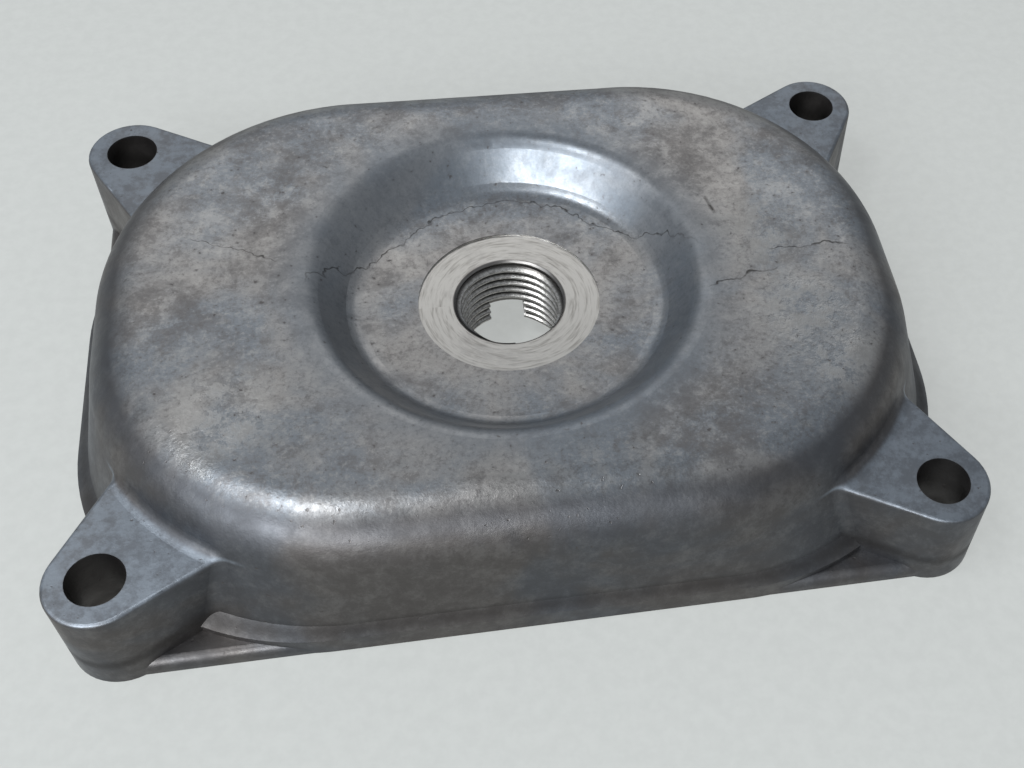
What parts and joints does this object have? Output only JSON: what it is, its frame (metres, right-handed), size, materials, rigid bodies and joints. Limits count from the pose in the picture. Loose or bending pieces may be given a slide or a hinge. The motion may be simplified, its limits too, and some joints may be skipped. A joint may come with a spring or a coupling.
{
  "type": "oil strainer cap",
  "caption": "Cast aluminium cover with a domed hollow body, corner bolt lugs and a threaded port in a central dish, to close and service an oil strainer housing.",
  "frame": {"origin": "centre of the bolt pattern, in the gasket face", "axes": "+X along the long side, +Y along the short side, +Z out of the gasket face, up through the threaded port"},
  "size_m": [0.176, 0.1276, 0.031],
  "materials": {
    "cast_aluminium": "as cast, mottled grey, with machined faces"
  },
  "bodies": {
    "root": {"cap_casting": "cast_aluminium"}
  },
  "joints": []
}
